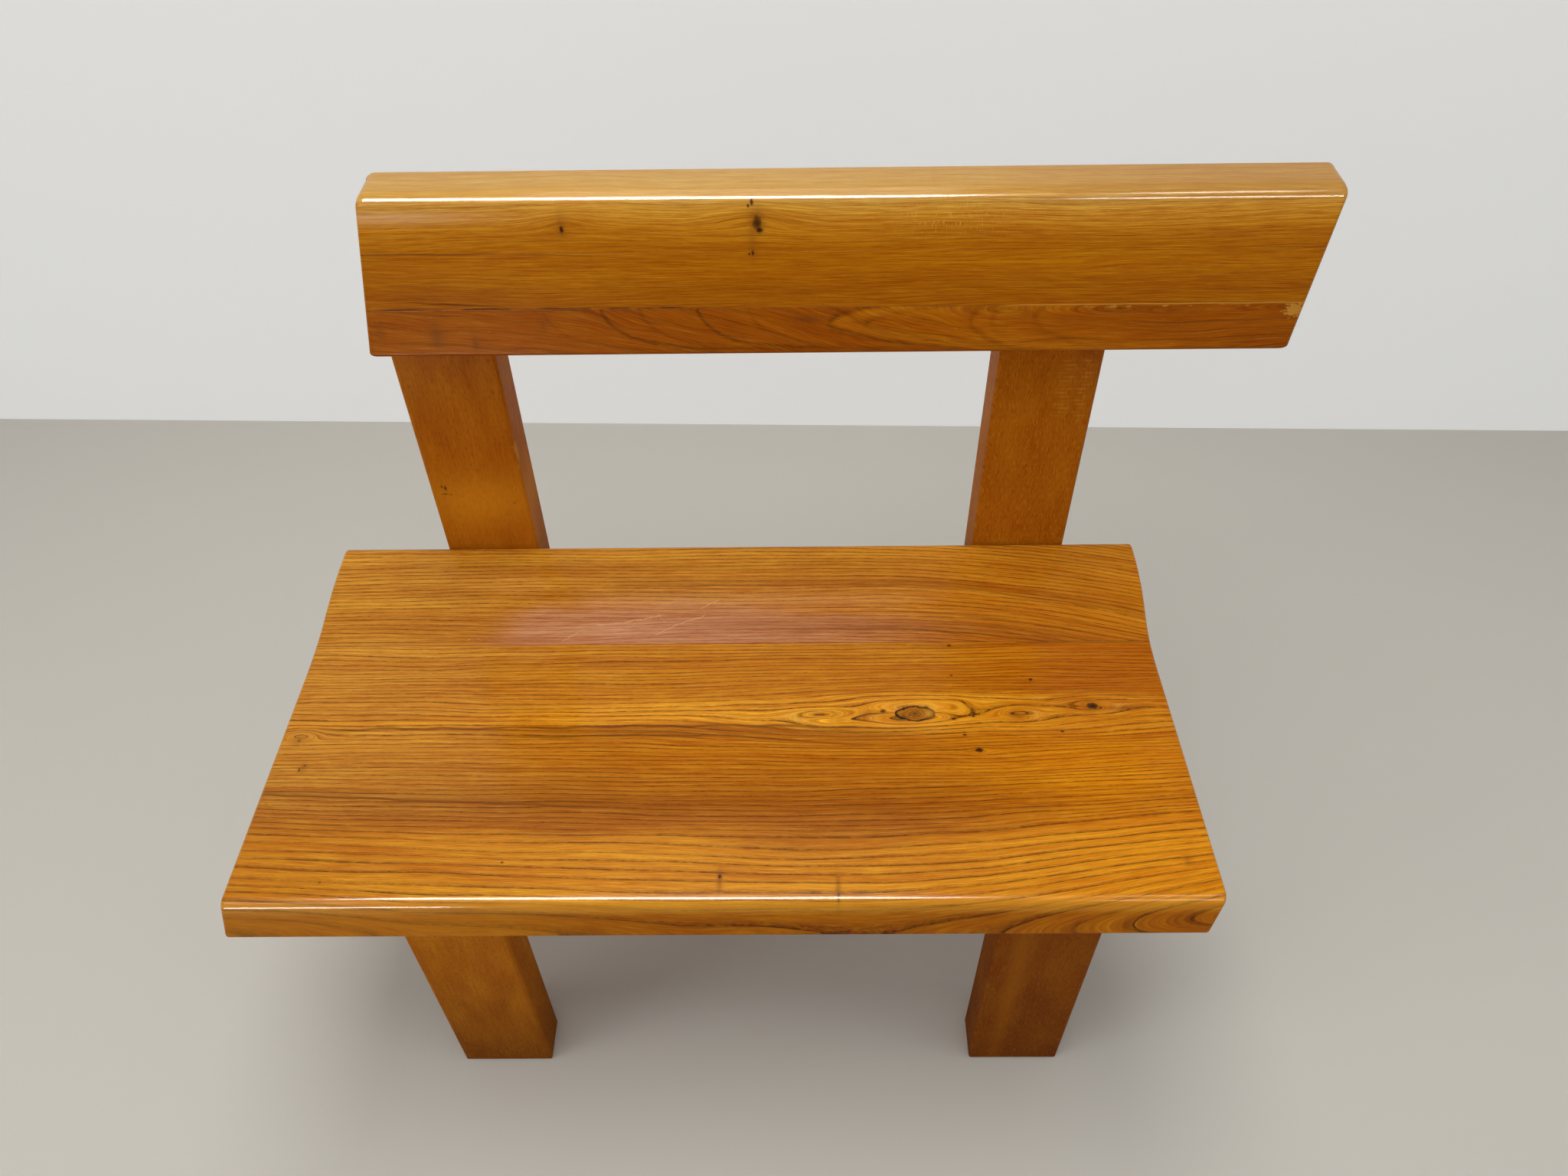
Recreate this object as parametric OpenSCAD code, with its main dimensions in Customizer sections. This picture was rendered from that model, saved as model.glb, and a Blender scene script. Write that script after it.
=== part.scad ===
// Corner bench in solid wood: a hollowed seat plank on two front legs and two
// rear posts, with a leaning backrest that runs past the seat at the right.
// X runs to the right, Y to the back and Z up. The floor is at Z = 0.

/* [Seat] */
// Length of the seat along its top front edge
seat_len = 850; // [700:5:1100]
// Depth of the seat, from its top front edge to its back face
seat_depth = 421; // [380:1:480]
// Height of the seat's top front edge above the floor
seat_height = 433; // [380:1:480]
// Thickness of the seat at its front edge
seat_front_t = 46; // [40:0.5:60]
// How far the front face runs out towards its bottom, in degrees
seat_front_lean = 11; // [0:0.5:15]
// How far both ends slant to the right going up, in degrees
seat_end_slant = 10; // [0:0.5:12]
// Depth of the hollow below the front edge
hollow_depth = 8.5; // [4:0.5:12]
// Rise of the back of the seat above the front edge
crest_rise = 9; // [4:0.5:14]
// Radius of the hollow's bottom
hollow_r = 220; // [150:5:260]
// Radius of the crest behind the hollow
crest_r = 280; // [150:5:320]
// Distance from the crest to the seat's back face
crest_back = 19; // [14:1:30]
// Radius along the seat's top front edge
seat_nose_r = 10; // [4:0.5:14]
// Radius along the seat's top back edge
seat_back_r = 7; // [3:0.5:10]
// Width of the rear board, behind the glue line
seat_rear_board = 128; // [110:1:140]

/* [Backrest] */
// Length of the backrest along its bottom edge
back_len = 811; // [700:1:1000]
// Distance from the seat's left end to the backrest's left end
back_offset = 112; // [90:1:130]
// Height of the backrest's bottom edge above the floor
back_bottom = 719; // [660:1:760]
// Level height of the backrest
back_height = 142; // [130:1:170]
// Level thickness of the backrest
back_t = 46; // [40:0.5:50]
// Backward lean of the backrest, in degrees
back_lean = 9.7; // [6:0.1:11]
// How far both ends slant to the right going up, in degrees
back_end_slant = 7.5; // [0:0.5:12]
// Radius along the top front edge
back_nose_r = 12; // [4:0.5:15]
// Radius along the top back edge
back_rear_r = 6; // [3:0.5:10]
// Height of the lowest of the three glued boards
back_low_board = 44; // [38:1:50]
// Height of the middle board
back_mid_board = 49; // [42:1:52]

/* [Legs and posts] */
// Width of the legs and posts, seen from the front
leg_w = 98; // [80:1:110]
// Thickness of the legs and posts
leg_t = 46; // [40:0.5:52]
// Distance from the top front edge of the seat back to the legs
leg_setback = 42; // [34:1:60]
// Distance from the seat's left end to the left leg and post
left_inset = 112; // [90:1:150]
// Distance from the seat's right end to the right leg and post
right_inset = 72; // [60:1:120]
// Distance from the backrest's top down to the top of the posts
post_drop = 16; // [8:1:24]

/* [Bearers] */
// Height of the bearers under the seat
bearer_h = 70; // [60:1:90]
// Thickness of the bearers
bearer_t = 46; // [40:1:60]

/* [Joinery] */
// Length of the tenons on the bearers
tenon_len = 28; // [20:1:30]
// Thickness of all tenons
tenon_t = 22; // [16:1:26]
// Height of the tenons on the bearers
tenon_h = 46; // [36:1:50]
// Width of the tenon on top of each leg
top_tenon_w = 60; // [40:1:64]
// Length of the tenon on top of each leg
top_tenon_len = 22; // [15:1:24]
// Clearance between a tenon and the walls of its mortise
tenon_fit = 0.2; // [0.1:0.05:0.4]
// Diameter of the pegs through the bearer tenons
peg_d = 8; // [6:0.5:10]
// Distance between the two pegs of a joint
peg_pitch = 24; // [18:1:26]
// Clearance round a peg, a plug or a screw
pin_fit = 0.15; // [0.1:0.05:0.3]

/* [Screws and plugs] */
// Diameter of the screws
screw_d = 5; // [4:0.5:6]
// Diameter of the screw heads
screw_head_d = 10; // [8:0.5:11]
// Thickness of the screw heads
screw_head_h = 3; // [2:0.5:4]
// Depth to which the screws reach into the seat or the backrest
screw_bite = 26; // [18:1:30]
// Length of screw between its head and the piece that it draws in
screw_grip = 18; // [14:1:20]
// Diameter of the plugs over the backrest screws
plug_d = 12; // [11.5:0.5:14]
// Diameter of the counterbores for the seat screws
bore_d = 13; // [11.5:0.5:15]
// Distance from the post face to the last seat screw
screw_end = 62; // [50:1:80]
// Distance between the seat screws along a bearer
screw_step = 112; // [100:1:116]
// Height of the lower backrest screws above the backrest's bottom edge
screw_low = 34; // [24:1:45]
// Distance between the two backrest screws of a post
screw_rise = 66; // [50:1:70]

/* [Edges] */
// Radius of the softened edges of the legs, posts and bearers
arris_r = 4; // [2:0.5:6]
// Radius of the softened lower edges of the seat and the backrest
under_r = 4; // [2:0.5:6]

/* [Hidden] */
$fn = 96;
arc_fn = 720;
over = 1;
mortise_gap = 1;
cheek_bite = 8;

seat_under = seat_height - seat_front_t;
seat_front_shift = seat_front_t * tan(seat_front_lean);
crest_z = seat_height + crest_rise;
low_z = seat_height - hollow_depth;
crest_y = seat_depth - crest_back;
rise = crest_rise + hollow_depth;
radii = hollow_r + crest_r;
low_y = crest_y - sqrt(rise * (2 * radii - rise));
hollow_c = [low_y, low_z + hollow_r];
crest_c = [crest_y, crest_z - crest_r];
// Point where the hollow runs over into the crest
turn = hollow_c + (crest_c - hollow_c) * hollow_r / radii;
// Point where the flat front part of the top meets the hollow
nose = [0, seat_height];
reach = norm(hollow_c - nose);
aim = atan2(hollow_c[1] - nose[1], hollow_c[0] - nose[0]) - asin(hollow_r / reach);
flat_end = nose + sqrt(reach * reach - hollow_r * hollow_r) * [cos(aim), sin(aim)];
glue_y = seat_depth - seat_rear_board;

back_top = back_bottom + back_height;
lean_tan = tan(back_lean);
back_front_y = seat_depth - back_t;
post_top = back_top - post_drop;
post_back = seat_depth + leg_t;

left_x = left_inset;
right_x = seat_len - right_inset - leg_w;
leg_back = leg_setback + leg_t;
bearer_z = seat_under - bearer_h;
tenon_z = bearer_z + (bearer_h - tenon_h) / 2;
peg_len = (leg_w + bearer_t) / 2 + cheek_bite;
seat_screw_y = [for (i = [0:2]) seat_depth - screw_end - i * screw_step];
back_screw_z = [for (i = [0:1]) back_bottom + screw_low + i * screw_rise];
top_tenon_y = leg_setback + (leg_t - tenon_t) / 2;

// Where the whole bench reaches, which sets the middle of the frame
function corner_gain(r, a) = r * tan(a) + r / cos(a) - r;
min_x = -seat_front_t * tan(seat_end_slant);
max_x = back_offset + back_len + back_height * tan(back_end_slant);
min_y = -seat_front_shift + corner_gain(under_r, seat_front_lean);
mid_x = (min_x + max_x) / 2;
mid_y = (min_y + post_back) / 2;

module place() {
    translate([-mid_x, -mid_y, 0]) children();
}

// Upright outlines: a shape drawn in Y and Z runs along X, and one drawn in
// X and Z runs along Y
module along_x(x0, x1) {
    translate([x0, 0, 0]) rotate([90, 0, 90]) linear_extrude(x1 - x0) children();
}

module along_y(y0, y1) {
    translate([0, y1, 0]) rotate([90, 0, 0]) linear_extrude(y1 - y0) children();
}

// A four-cornered outline with a radius at each corner. The corners run
// counter-clockwise from the lower left one.
function unit(v) = v / norm(v);
function turn_half(a, b, c) = acos(unit(a - b) * unit(c - b)) / 2;
function setback(a, b, c, r) = r / tan(turn_half(a, b, c));
function corner_mid(a, b, c, r) =
    b + unit(unit(a - b) + unit(c - b)) * r / sin(turn_half(a, b, c));

module corner_cut(a, b, c, r) {
    s = setback(a, b, c, r);
    difference() {
        polygon([b, b + unit(a - b) * s, corner_mid(a, b, c, r), b + unit(c - b) * s]);
        translate(corner_mid(a, b, c, r)) circle(r);
    }
}

module soft_outline(points, radii) {
    n = len(points);
    difference() {
        polygon(points);
        for (i = [0:n - 1])
            if (radii[i] > 0)
                corner_cut(points[(i + n - 1) % n], points[i], points[(i + 1) % n], radii[i]);
    }
}

// Side view of the seat: flat under, hollowed on top
module seat_side() {
    top_back = [seat_depth, crest_z];
    bottom_back = [seat_depth, seat_under];
    bottom_front = [-seat_front_shift, seat_under];
    difference() {
        union() {
            polygon([bottom_front, bottom_back, top_back, [crest_y, crest_z], turn, flat_end, nose]);
            intersection() {
                translate(crest_c) circle(crest_r, $fn = arc_fn);
                polygon([turn, [crest_y, crest_z], [crest_y, crest_z + rise], turn + [0, rise]]);
            }
        }
        intersection() {
            translate(hollow_c) circle(hollow_r, $fn = arc_fn);
            polygon([flat_end, [low_y, seat_under], turn, turn + [0, rise], flat_end + [0, rise]]);
        }
        corner_cut(flat_end, nose, bottom_front, seat_nose_r);
        corner_cut(nose, bottom_front, bottom_back, under_r);
        corner_cut(bottom_front, bottom_back, top_back, under_r);
        corner_cut(bottom_back, top_back, [crest_y, crest_z], seat_back_r);
    }
}

// Front view of the seat: both ends slant to the right going up
module seat_front() {
    low = -seat_front_t * tan(seat_end_slant);
    high = (crest_rise + over) * tan(seat_end_slant);
    polygon([
        [low, seat_under], [seat_len + low, seat_under],
        [seat_len + high, crest_z + over], [high, crest_z + over]
    ]);
}

module seat_whole() {
    span = seat_len * 2;
    intersection() {
        along_x(-seat_len / 2, span - seat_len / 2) seat_side();
        along_y(-seat_depth / 2, seat_depth + over) seat_front();
    }
}

module seat_holes() {
    for (x = [left_x, right_x]) {
        translate([x + (leg_w - top_tenon_w) / 2 - tenon_fit, top_tenon_y - tenon_fit, seat_under - over])
            cube([top_tenon_w + 2 * tenon_fit, tenon_t + 2 * tenon_fit,
                top_tenon_len + mortise_gap + over]);
        for (y = seat_screw_y)
            translate([x + leg_w / 2, y, seat_under - over])
                cylinder(h = screw_bite + over + pin_fit, d = screw_d + 2 * pin_fit);
    }
}

// Part of the seat between two planes across its depth
module seat_board(y0, y1) {
    color("peru") place() difference() {
        intersection() {
            seat_whole();
            translate([-seat_len, y0, 0]) cube([seat_len * 3, y1 - y0, seat_height * 2]);
        }
        seat_holes();
    }
}

module seat_board_front() {
    seat_board(-seat_depth, glue_y);
}

module seat_board_rear() {
    seat_board(glue_y, seat_depth * 2);
}

// Side view of the backrest: level top and bottom, leaning front and back
module back_side() {
    soft_outline([
        [back_front_y, back_bottom], [seat_depth, back_bottom],
        [seat_depth + back_height * lean_tan, back_top],
        [back_front_y + back_height * lean_tan, back_top]
    ], [under_r, under_r, back_rear_r, back_nose_r]);
}

// Front view of the backrest, with its ends slanted the same way
module back_front() {
    shift = back_height * tan(back_end_slant);
    polygon([
        [back_offset, back_bottom], [back_offset + back_len, back_bottom],
        [back_offset + back_len + shift, back_top], [back_offset + shift, back_top]
    ]);
}

module back_screw_holes() {
    for (x = [left_x, right_x])
        for (z = back_screw_z)
            along_back_screw(x, z, 0)
                cylinder(h = screw_grip + screw_bite + pin_fit, d = screw_d + 2 * pin_fit);
}

// Part of the backrest between two level planes
module back_board(z0, z1) {
    color("chocolate") place() difference() {
        intersection() {
            along_x(back_offset - back_height, back_offset + back_len + back_height) back_side();
            along_y(back_front_y - over, post_back) back_front();
            translate([0, 0, z0]) cube([back_offset + back_len + back_height, post_back, z1 - z0]);
        }
        back_screw_holes();
    }
}

module backrest_board_bottom() {
    back_board(back_bottom, back_bottom + back_low_board);
}

module backrest_board_middle() {
    low = back_bottom + back_low_board;
    back_board(low, low + back_mid_board);
}

module backrest_board_top() {
    back_board(back_bottom + back_low_board + back_mid_board, back_top);
}

// A board standing on the floor, w wide and leg_t deep, with soft edges
module upright(x, y, side_points, side_radii, top) {
    intersection() {
        translate([x, y, 0]) linear_extrude(top) soft_outline(
            [[0, 0], [leg_w, 0], [leg_w, leg_t], [0, leg_t]],
            [arris_r, arris_r, arris_r, arris_r]);
        along_x(x, x + leg_w) soft_outline(side_points, side_radii);
        along_y(y, y + leg_t) soft_outline(
            [[x, 0], [x + leg_w, 0], [x + leg_w, top], [x, top]],
            [arris_r, arris_r, 0, 0]);
    }
}

module tenon_hole(x, y) {
    mid = x + leg_w / 2;
    translate([mid - tenon_t / 2 - tenon_fit, y, tenon_z - tenon_fit])
        cube([tenon_t + 2 * tenon_fit, tenon_len + mortise_gap + over, tenon_h + 2 * tenon_fit]);
}

// Pegs of the joint between a bearer and a leg or post. They are driven in
// from the side that faces the middle of the bench.
module peg_set(x, y, from_right, d) {
    start = from_right ? x + leg_w : x;
    for (z = [-1, 1])
        translate([start, y, tenon_z + tenon_h / 2 + z * peg_pitch / 2])
            rotate([0, from_right ? -90 : 90, 0]) cylinder(h = peg_len, d = d);
}

front_peg_y = leg_back - tenon_len / 2;
rear_peg_y = seat_depth + tenon_len / 2;

module front_leg(x, from_right) {
    color("sienna") place() difference() {
        union() {
            upright(x, leg_setback,
                [[leg_setback, 0], [leg_back, 0], [leg_back, seat_under], [leg_setback, seat_under]],
                [arris_r, arris_r, 0, 0], seat_under);
            translate([x + (leg_w - top_tenon_w) / 2, top_tenon_y, seat_under - over])
                cube([top_tenon_w, tenon_t, top_tenon_len + over]);
        }
        tenon_hole(x, leg_back - tenon_len - mortise_gap);
        peg_set(x, front_peg_y, from_right, peg_d + 2 * pin_fit);
    }
}

module front_leg_left() {
    front_leg(left_x, true);
}

module front_leg_right() {
    front_leg(right_x, false);
}

// Thickness of a post at height z, where its head is cut to the backrest's lean
function post_t_at(z) = leg_t - max(0, z - back_bottom) * lean_tan;
function plug_room(z) = post_t_at(z) - screw_grip;

// Places a backrest screw's part with its start at the head's seat, pointing
// forward, moved back by the given distance
module along_back_screw(x, z, back) {
    translate([x + leg_w / 2, post_back - plug_room(z) + back, z]) rotate([90, 0, 0]) children();
}

// What a post's head would hold beyond the backrest's slanted left end
module past_end() {
    along_y(seat_depth - over, post_back + over) polygon([
        [back_offset, back_bottom],
        [back_offset + back_height * tan(back_end_slant), back_top],
        [back_offset - leg_w, back_top], [back_offset - leg_w, back_bottom]
    ]);
}

module rear_post(x, from_right) {
    color("saddlebrown") place() difference() {
        upright(x, seat_depth,
            [[seat_depth, 0], [post_back, 0], [post_back, post_top],
                [seat_depth + (post_top - back_bottom) * lean_tan, post_top],
                [seat_depth, back_bottom]],
            [arris_r, arris_r, arris_r, 0, 0], post_top);
        past_end();
        tenon_hole(x, seat_depth - over);
        peg_set(x, rear_peg_y, from_right, peg_d + 2 * pin_fit);
        back_screw_holes();
        for (z = back_screw_z)
            along_back_screw(x, z, plug_room(z) + over)
                cylinder(h = plug_room(z) + over, d = plug_d + 2 * pin_fit);
    }
}

module rear_post_left() {
    rear_post(left_x, true);
}

module rear_post_right() {
    rear_post(right_x, false);
}

module seat_bearer(x, from_right) {
    mid = x + leg_w / 2;
    x0 = mid - bearer_t / 2;
    color("burlywood") place() difference() {
        union() {
            along_y(leg_back, seat_depth) soft_outline(
                [[x0, bearer_z], [x0 + bearer_t, bearer_z],
                    [x0 + bearer_t, seat_under], [x0, seat_under]],
                [arris_r, arris_r, 0, 0]);
            translate([mid - tenon_t / 2, leg_back - tenon_len, tenon_z])
                cube([tenon_t, seat_depth - leg_back + 2 * tenon_len, tenon_h]);
        }
        for (y = [front_peg_y, rear_peg_y])
            peg_set(x, y, from_right, peg_d + 2 * pin_fit);
        for (y = seat_screw_y) {
            translate([mid, y, bearer_z - over])
                cylinder(h = bearer_h - screw_grip + over, d = bore_d);
            translate([mid, y, bearer_z])
                cylinder(h = bearer_h + over, d = screw_d + 2 * pin_fit);
        }
    }
}

module seat_bearer_left() {
    seat_bearer(left_x, true);
}

module seat_bearer_right() {
    seat_bearer(right_x, false);
}

module tenon_pegs() {
    color("tan") place()
        for (y = [front_peg_y, rear_peg_y]) {
            peg_set(left_x, y, true, peg_d);
            peg_set(right_x, y, false, peg_d);
        }
}

// A wood screw that points up from the underside of its head
module screw() {
    translate([0, 0, -screw_head_h]) cylinder(h = screw_head_h, d = screw_head_d);
    cylinder(h = screw_grip + screw_bite, d = screw_d);
}

module seat_screws() {
    color("silver") place()
        for (x = [left_x, right_x])
            for (y = seat_screw_y)
                translate([x + leg_w / 2, y, seat_under - screw_grip]) screw();
}

module backrest_screws() {
    color("silver") place()
        for (x = [left_x, right_x])
            for (z = back_screw_z)
                along_back_screw(x, z, 0) screw();
}

module backrest_plugs() {
    color("tan") place()
        for (x = [left_x, right_x])
            for (z = back_screw_z)
                along_back_screw(x, z, plug_room(z))
                    cylinder(h = plug_room(z) - screw_head_h, d = plug_d);
}

seat_board_front();
seat_board_rear();
backrest_board_top();
backrest_board_middle();
backrest_board_bottom();
front_leg_left();
front_leg_right();
rear_post_left();
rear_post_right();
seat_bearer_left();
seat_bearer_right();
tenon_pegs();
seat_screws();
backrest_screws();
backrest_plugs();
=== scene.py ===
from math import asin, atan2, cos, degrees, exp, pi, radians, sin, sqrt, tan

import bmesh
import bpy
from mathutils import Matrix, Vector


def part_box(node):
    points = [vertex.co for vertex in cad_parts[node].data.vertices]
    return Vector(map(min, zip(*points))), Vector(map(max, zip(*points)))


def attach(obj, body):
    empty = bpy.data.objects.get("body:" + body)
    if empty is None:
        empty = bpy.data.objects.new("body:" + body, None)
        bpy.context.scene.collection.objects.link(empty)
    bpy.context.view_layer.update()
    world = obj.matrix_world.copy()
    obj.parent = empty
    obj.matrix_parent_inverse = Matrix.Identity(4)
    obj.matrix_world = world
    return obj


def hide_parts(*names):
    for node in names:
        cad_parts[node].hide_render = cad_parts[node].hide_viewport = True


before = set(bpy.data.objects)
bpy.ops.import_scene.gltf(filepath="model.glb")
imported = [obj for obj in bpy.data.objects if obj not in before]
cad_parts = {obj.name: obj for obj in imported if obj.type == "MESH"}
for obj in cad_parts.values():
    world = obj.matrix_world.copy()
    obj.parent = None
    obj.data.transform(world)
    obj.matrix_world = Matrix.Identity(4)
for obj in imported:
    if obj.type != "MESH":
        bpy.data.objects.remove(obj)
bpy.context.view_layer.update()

# Sizes are in mm, in the CAD source's own axes: x from the seat's left end, y from its top
# front edge and z from the floor. The CAD legs say where that origin lies in the row frame.
# Slants and leans are in degrees.
MM = 0.001
LEFT_LEG_X, LEG_Y = 112, 42
ORIGIN_X = LEFT_LEG_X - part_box("front_leg_left")[0].x / MM
ORIGIN_Y = LEG_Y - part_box("front_leg_left")[0].y / MM

SEAT_LEN, SEAT_DEPTH, SEAT_TOP, SEAT_UNDER = 850, 421, 433, 387
SEAT_SLANT, SEAT_LEAN = 10, 11
HOLLOW_DEPTH, CREST_RISE, HOLLOW_R, CREST_R, CREST_BACK = 8.5, 9, 220, 280, 19
NOSE_R, SEAT_BACK_R, UNDER_R = 10, 7, 4
SEAT_GLUE_Y = 293

BACK_X, BACK_LEN, BACK_FRONT_Y, BACK_T = 112, 811, 375, 46
BACK_LOW, BACK_TOP = 719, 861
BACK_SLANT, BACK_LEAN = 7.5, 9.7
BACK_NOSE_R, BACK_REAR_R = 12, 6
BACK_GLUE_Z = (763, 812)

LEG_W, LEG_T, RIGHT_LEG_X = 98, 46, 680

# Softened end edges, and a fine groove along each glue line
END_R, BACK_END_R = 4, 9
GLUE_GROOVE = 0.25

# How fine the meshes are: steps round a plank, sections along it and in each softened end
SHORT_STEP, FLAT_STEP, LONG_STEP = 8, 14, 20
STATION, END_STEPS = 25, 9
SHARP_ANGLE = 40
# In metres, how near a cut's plane its points lie
ON_PLANE = 1e-7


def row(x, y, z):
    """A point in the source's millimetres as a point in the row frame."""
    return Vector(((x - ORIGIN_X) * MM, (y - ORIGIN_Y) * MM, z * MM))


# Outlines

def arc(centre, radius, start, end, steps):
    """Points on an arc, from one angle to another, in degrees."""
    turns = [radians(start + (end - start) * i / steps) for i in range(steps + 1)]
    return [Vector((centre[0] + radius * cos(a), centre[1] + radius * sin(a))) for a in turns]


def rounded(before, corner, after, radius, steps=8):
    """The arc that rounds one corner of an outline."""
    before, corner, after = Vector(before), Vector(corner), Vector(after)
    u, v = (before - corner).normalized(), (after - corner).normalized()
    half = u.angle(v) / 2
    centre = corner + (u + v).normalized() * radius / sin(half)
    first = corner + u * radius / tan(half) - centre
    last = corner + v * radius / tan(half) - centre
    turn = first.angle_signed(last)
    return [centre + Matrix.Rotation(-turn * i / steps, 2) @ first for i in range(steps + 1)]


def between(a, b, step):
    """Points from a to b without the two ends."""
    a, b = Vector(a), Vector(b)
    count = max(1, round((b - a).length / step))
    return [a.lerp(b, i / count) for i in range(1, count)]


def seat_outline():
    """Side view of the seat, counter-clockwise from its top front edge."""
    crest_z = SEAT_TOP + CREST_RISE
    crest_y = SEAT_DEPTH - CREST_BACK
    rise = CREST_RISE + HOLLOW_DEPTH
    low_y = crest_y - sqrt(rise * (2 * (HOLLOW_R + CREST_R) - rise))
    hollow_c = Vector((low_y, SEAT_TOP - HOLLOW_DEPTH + HOLLOW_R))
    crest_c = Vector((crest_y, crest_z - CREST_R))
    nose = Vector((0, SEAT_TOP))
    low_front = Vector((-(SEAT_TOP - SEAT_UNDER) * tan(radians(SEAT_LEAN)), SEAT_UNDER))
    low_back, top_back, crest = (SEAT_DEPTH, SEAT_UNDER), (SEAT_DEPTH, crest_z), (crest_y, crest_z)
    to_centre = hollow_c - nose
    aim = atan2(to_centre.y, to_centre.x) - asin(HOLLOW_R / to_centre.length)
    flat = sqrt(to_centre.length_squared - HOLLOW_R ** 2)
    flat_end = nose + Vector((cos(aim), sin(aim))) * flat
    turn = hollow_c + (crest_c - hollow_c) * HOLLOW_R / (HOLLOW_R + CREST_R)
    start = degrees(atan2(flat_end.y - hollow_c.y, flat_end.x - hollow_c.x))
    end = degrees(atan2(turn.y - hollow_c.y, turn.x - hollow_c.x))
    hollow = arc(hollow_c, HOLLOW_R, start, end, steps=10)
    rising = arc(crest_c, CREST_R, end + 180, 90, steps=16)
    corners = [
        rounded(flat_end, nose, low_front, NOSE_R, steps=12),
        rounded(nose, low_front, low_back, UNDER_R),
        rounded(low_front, low_back, top_back, UNDER_R),
        rounded(low_back, top_back, crest, SEAT_BACK_R),
    ]
    points = corners[0] + between(corners[0][-1], corners[1][0], SHORT_STEP) + corners[1]
    points += between(corners[1][-1], corners[2][0], LONG_STEP) + corners[2]
    points += between(corners[2][-1], corners[3][0], SHORT_STEP) + corners[3]
    points += list(reversed(hollow + rising[1:]))
    return points + between(flat_end, corners[0][0], FLAT_STEP)


def back_outline():
    """Side view of the backrest, counter-clockwise from its top front edge."""
    shift = (BACK_TOP - BACK_LOW) * tan(radians(BACK_LEAN))
    corners = [
        (BACK_FRONT_Y + shift, BACK_TOP), (BACK_FRONT_Y, BACK_LOW),
        (BACK_FRONT_Y + BACK_T, BACK_LOW), (BACK_FRONT_Y + BACK_T + shift, BACK_TOP),
    ]
    radii = [BACK_NOSE_R, UNDER_R, UNDER_R, BACK_REAR_R]
    arcs = [
        rounded(corners[i - 1], corners[i], corners[(i + 1) % 4], radii[i], steps=10)
        for i in range(4)]
    points = []
    for i in range(4):
        points += arcs[i] + between(arcs[i][-1], arcs[(i + 1) % 4][0], SHORT_STEP)
    return points


# Meshes

def outward(points):
    """The outward normal at each point of a counter-clockwise outline in y and z."""
    normals = []
    for i, point in enumerate(points):
        ahead = (points[(i + 1) % len(points)] - point).normalized()
        behind = (point - points[i - 1]).normalized()
        along = (ahead + behind).normalized()
        normals.append(Vector((along.y, -along.x)))
    return normals


def inset(distance, radius):
    """How far a rounded edge lies inside the outline at a distance from the end plane."""
    left = max(radius - distance, 0)
    return radius - sqrt(radius * radius - left * left)


def sunk(x, y, dents):
    """How deep the surface is sunk at a place, by dents with x, y, radius and depth."""
    return sum(
        depth * exp(-((x - dent_x) / radius) ** 2 - ((y - dent_y) / radius) ** 2)
        for dent_x, dent_y, radius, depth in dents)


def plank(points, x0, length, z0, slant, level_r, dents=()):
    """A bmesh of the outline swept along x, with slanted ends and softened end edges.

    The edges of the level faces have the radius level_r, and those of the upright faces END_R.
    The slanted ends start at x0 at the height z0.
    """
    turns = [pi / 2 * (1 - i / END_STEPS) for i in range(END_STEPS + 1)]
    ends = [level_r * (1 - sin(turn)) for turn in turns]
    count = round((length - 2 * level_r) / STATION)
    middle = [level_r + (length - 2 * level_r) * i / count for i in range(1, count)]
    stations = ends + middle + [length - t for t in reversed(ends)]
    normals = outward(points)
    lean = tan(radians(slant))
    mesh = bmesh.new()
    rings = []
    for t in stations:
        ring = []
        for point, normal in zip(points, normals):
            radius = END_R + (level_r - END_R) * normal.y ** 2
            y, z = point - normal * inset(min(t, length - t), radius)
            x = x0 + t + (z - z0) * lean
            depth = sunk(x, y, dents)
            ring.append(mesh.verts.new(row(x, y - normal.x * depth, z - normal.y * depth)))
        rings.append(ring)
    size = len(points)
    for a, b in zip(rings, rings[1:]):
        for i in range(size):
            j = (i + 1) % size
            mesh.faces.new((a[i], a[j], b[j], b[i]))
    mesh.faces.new(list(reversed(rings[0])))
    mesh.faces.new(rings[-1])
    bmesh.ops.recalc_face_normals(mesh, faces=mesh.faces)
    return mesh


def cut(mesh, point, normal):
    """Cuts a bmesh at a plane, keeps what lies behind it and closes it with a fine groove."""
    geometry = list(mesh.verts) + list(mesh.edges) + list(mesh.faces)
    bmesh.ops.bisect_plane(
        mesh, geom=geometry, dist=ON_PLANE, plane_co=point, plane_no=normal, clear_outer=True)
    rim = [e for e in mesh.edges if len(e.link_faces) == 1]
    bmesh.ops.holes_fill(mesh, edges=rim, sides=0)
    bmesh.ops.recalc_face_normals(mesh, faces=mesh.faces)
    rim = [
        e for e in mesh.edges if all(abs((v.co - point).dot(normal)) < ON_PLANE for v in e.verts)]
    bmesh.ops.bevel(mesh, geom=rim, offset=GLUE_GROOVE * MM, segments=1, affect="EDGES")


def add(name, data):
    """Adds an object with that data to the scene."""
    made = bpy.data.objects.new(name, data)
    bpy.context.scene.collection.objects.link(made)
    return made


def board(name, mesh, cuts, node_name, material):
    """Makes a board that stands for its CAD node; a cut is a point and the side that goes."""
    piece_mesh = mesh.copy()
    for point, normal in cuts:
        cut(piece_mesh, point, normal)
    data = bpy.data.meshes.new(name)
    piece_mesh.to_mesh(data)
    piece_mesh.free()
    for polygon in data.polygons:
        polygon.use_smooth = True
    data.set_sharp_from_angle(angle=radians(SHARP_ANGLE))
    piece = add(name, data)
    weights = piece.modifiers.new("even_normals", "WEIGHTED_NORMAL")
    weights.keep_sharp = True
    data.materials.append(material)
    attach(piece, "root")
    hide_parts(node_name)


# Node trees

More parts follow.
